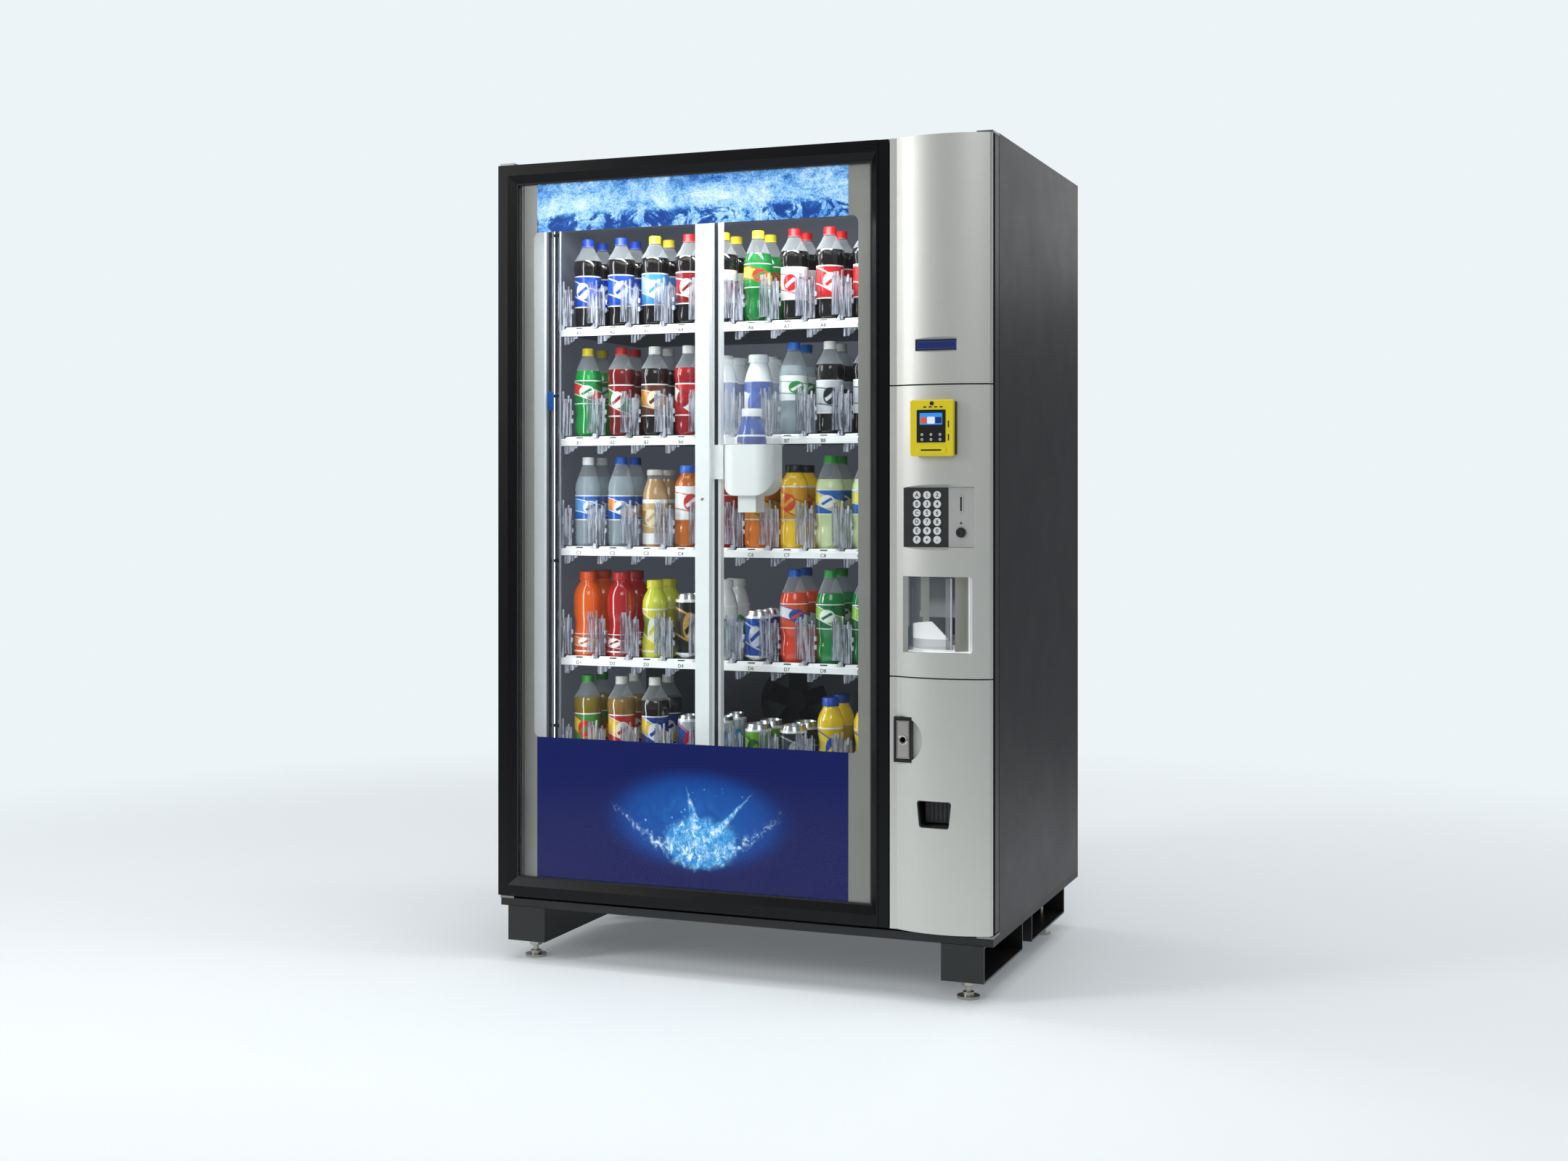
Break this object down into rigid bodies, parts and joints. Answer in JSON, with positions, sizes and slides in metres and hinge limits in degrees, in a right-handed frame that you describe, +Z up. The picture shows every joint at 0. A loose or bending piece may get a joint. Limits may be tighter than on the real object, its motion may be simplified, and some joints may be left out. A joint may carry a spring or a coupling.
{
  "type": "drinks vending machine",
  "caption": "Free-standing glass-front vending machine with bottle shelves, a moving delivery cup, a hinged glass door and a service door with keypad and port.",
  "frame": {"origin": "on the floor, under the middle of the machine's whole box", "axes": "+Z up, front towards -Y, +X to the customer's right"},
  "size_m": [1.194, 0.876, 1.871],
  "materials": {
    "cabinet_black": "satin",
    "base_black": "satin",
    "leg_black": "satin",
    "foot_steel": "satin",
    "liner_grey": "satin",
    "divider_white": "satin",
    "tray_grey": "satin",
    "rail_white": "satin",
    "gate_clear": "gloss",
    "track_steel": "satin",
    "lamp_white": "satin",
    "cooling_metal": "satin",
    "duct_grey": "satin",
    "bracket_steel": "satin",
    "bottle_mixed": "gloss",
    "fan_black": "satin",
    "frame_black": "satin",
    "pane_glass": "gloss",
    "print_grey": "satin",
    "gasket_rubber": "matte",
    "pan_black": "satin",
    "cover_silver": "satin",
    "display_dark": "gloss",
    "reader_yellow": "satin",
    "plate_charcoal": "satin",
    "plate_silver": "satin",
    "lock_black": "satin",
    "return_black": "satin",
    "changer_grey": "satin",
    "bucket_white": "satin",
    "knob_nickel": "polished",
    "drum_clear": "gloss",
    "lock_nickel": "satin",
    "flap_dark": "satin",
    "column_white": "satin",
    "cup_white": "satin",
    "shield_clear": "gloss",
    "key_white": "satin"
  },
  "bodies": {
    "root": {"side_walls": "cabinet_black", "roof_wall": "cabinet_black", "rear_wall": "cabinet_black", "insulated_floor": "liner_grey", "compartment_divider": "divider_white", "base_frame": "base_black", "legs": "leg_black", "levelling_feet": "foot_steel", "shelf_trays": "tray_grey", "price_rails": "rail_white", "dispensing_gates": "gate_clear", "gantry_rails": "track_steel", "light_bars": "lamp_white", "cooling_unit": "cooling_metal", "evaporator_housing": "duct_grey", "hinge_brackets": "bracket_steel", "stock": "bottle_mixed"},
    "glass_door": {"door_frame": "frame_black", "glass_panes": "pane_glass", "glass_graphics": "print_grey", "door_gasket": "gasket_rubber"},
    "service_door": {"door_pan": "pan_black", "upper_cover": "cover_silver", "middle_cover": "cover_silver", "lower_cover": "cover_silver", "display_window": "display_dark", "card_reader": "reader_yellow", "keypad_plate": "plate_charcoal", "coin_plate": "plate_silver", "lock_surround": "lock_black", "return_cup": "return_black", "coin_changer": "changer_grey", "delivery_bucket": "bucket_white"},
    "port_shield": {"port_drum": "drum_clear"},
    "pull_handle": {"lock_handle": "lock_nickel"},
    "key_cylinder": {"lock_barrel": "lock_nickel"},
    "coin_release": {"coin_knob": "knob_nickel"},
    "coin_flap": {"return_flap": "flap_dark"},
    "gantry": {"gantry_column": "column_white"},
    "cup": {"cup_carriage": "cup_white", "cup_shield": "shield_clear"},
    "fan": {"evaporator_fan": "fan_black"},
    "key_a": {"key_a": "key_white"},
    "key_1": {"key_1": "key_white"},
    "key_2": {"key_2": "key_white"},
    "key_b": {"key_b": "key_white"},
    "key_3": {"key_3": "key_white"},
    "key_4": {"key_4": "key_white"},
    "key_c": {"key_c": "key_white"},
    "key_5": {"key_5": "key_white"},
    "key_6": {"key_6": "key_white"},
    "key_d": {"key_d": "key_white"},
    "key_7": {"key_7": "key_white"},
    "key_8": {"key_8": "key_white"},
    "key_e": {"key_e": "key_white"},
    "key_9": {"key_9": "key_white"},
    "key_0": {"key_0": "key_white"},
    "key_f": {"key_f": "key_white"},
    "key_star": {"key_star": "key_white"},
    "key_dash": {"key_dash": "key_white"}
  },
  "joints": [
    {"name": "glass_door_hinge", "type": "hinge", "parent": "root", "child": "glass_door", "pos_m": [-0.584, -0.371, 1], "axis": [0, 0, 1], "range_deg": [-110, 0]},
    {"name": "service_door_hinge", "type": "hinge", "parent": "root", "child": "service_door", "pos_m": [0.584, -0.371, 1], "axis": [0, 0, 1], "range_deg": [0, 100]},
    {"name": "port_shield_turn", "type": "hinge", "parent": "service_door", "child": "port_shield", "pos_m": [0.47, -0.308, 0.8], "axis": [0, 0, 1], "range_deg": [-87, 0]},
    {"name": "handle_pull", "type": "slide", "parent": "service_door", "child": "pull_handle", "axis": [0, -1, 0], "range_m": [0, 0.018]},
    {"name": "key_turn", "type": "hinge", "parent": "pull_handle", "child": "key_cylinder", "pos_m": [0.4025, -0.396, 0.562], "axis": [0, 1, 0], "range_deg": [0, 90]},
    {"name": "coin_release_push", "type": "slide", "parent": "service_door", "child": "coin_release", "axis": [0, 1, 0], "range_m": [0, 0.004], "stiffness_N_per_m": 600},
    {"name": "coin_flap_swing", "type": "hinge", "parent": "service_door", "child": "coin_flap", "pos_m": [0.4745, -0.381, 0.429], "axis": [1, 0, 0], "range_deg": [0, 45]},
    {"name": "gantry_travel", "type": "slide", "parent": "root", "child": "gantry", "axis": [1, 0, 0], "range_m": [-0.433, 0.23]},
    {"name": "cup_lift", "type": "slide", "parent": "gantry", "child": "cup", "axis": [0, 0, 1], "range_m": [-0.67, 0.4]},
    {"name": "fan_spin", "type": "hinge", "parent": "root", "child": "fan", "pos_m": [-0.12, 0.333, 0.55], "axis": [0, 1, 0], "continuous": true},
    {"name": "key_a_press", "type": "slide", "parent": "service_door", "child": "key_a", "axis": [0, 1, 0], "range_m": [0, 0.0015], "stiffness_N_per_m": 400},
    {"name": "key_1_press", "type": "slide", "parent": "service_door", "child": "key_1", "axis": [0, 1, 0], "range_m": [0, 0.0015], "stiffness_N_per_m": 400},
    {"name": "key_2_press", "type": "slide", "parent": "service_door", "child": "key_2", "axis": [0, 1, 0], "range_m": [0, 0.0015], "stiffness_N_per_m": 400},
    {"name": "key_b_press", "type": "slide", "parent": "service_door", "child": "key_b", "axis": [0, 1, 0], "range_m": [0, 0.0015], "stiffness_N_per_m": 400},
    {"name": "key_3_press", "type": "slide", "parent": "service_door", "child": "key_3", "axis": [0, 1, 0], "range_m": [0, 0.0015], "stiffness_N_per_m": 400},
    {"name": "key_4_press", "type": "slide", "parent": "service_door", "child": "key_4", "axis": [0, 1, 0], "range_m": [0, 0.0015], "stiffness_N_per_m": 400},
    {"name": "key_c_press", "type": "slide", "parent": "service_door", "child": "key_c", "axis": [0, 1, 0], "range_m": [0, 0.0015], "stiffness_N_per_m": 400},
    {"name": "key_5_press", "type": "slide", "parent": "service_door", "child": "key_5", "axis": [0, 1, 0], "range_m": [0, 0.0015], "stiffness_N_per_m": 400},
    {"name": "key_6_press", "type": "slide", "parent": "service_door", "child": "key_6", "axis": [0, 1, 0], "range_m": [0, 0.0015], "stiffness_N_per_m": 400},
    {"name": "key_d_press", "type": "slide", "parent": "service_door", "child": "key_d", "axis": [0, 1, 0], "range_m": [0, 0.0015], "stiffness_N_per_m": 400},
    {"name": "key_7_press", "type": "slide", "parent": "service_door", "child": "key_7", "axis": [0, 1, 0], "range_m": [0, 0.0015], "stiffness_N_per_m": 400},
    {"name": "key_8_press", "type": "slide", "parent": "service_door", "child": "key_8", "axis": [0, 1, 0], "range_m": [0, 0.0015], "stiffness_N_per_m": 400},
    {"name": "key_e_press", "type": "slide", "parent": "service_door", "child": "key_e", "axis": [0, 1, 0], "range_m": [0, 0.0015], "stiffness_N_per_m": 400},
    {"name": "key_9_press", "type": "slide", "parent": "service_door", "child": "key_9", "axis": [0, 1, 0], "range_m": [0, 0.0015], "stiffness_N_per_m": 400},
    {"name": "key_0_press", "type": "slide", "parent": "service_door", "child": "key_0", "axis": [0, 1, 0], "range_m": [0, 0.0015], "stiffness_N_per_m": 400},
    {"name": "key_f_press", "type": "slide", "parent": "service_door", "child": "key_f", "axis": [0, 1, 0], "range_m": [0, 0.0015], "stiffness_N_per_m": 400},
    {"name": "key_star_press", "type": "slide", "parent": "service_door", "child": "key_star", "axis": [0, 1, 0], "range_m": [0, 0.0015], "stiffness_N_per_m": 400},
    {"name": "key_dash_press", "type": "slide", "parent": "service_door", "child": "key_dash", "axis": [0, 1, 0], "range_m": [0, 0.0015], "stiffness_N_per_m": 400}
  ]
}
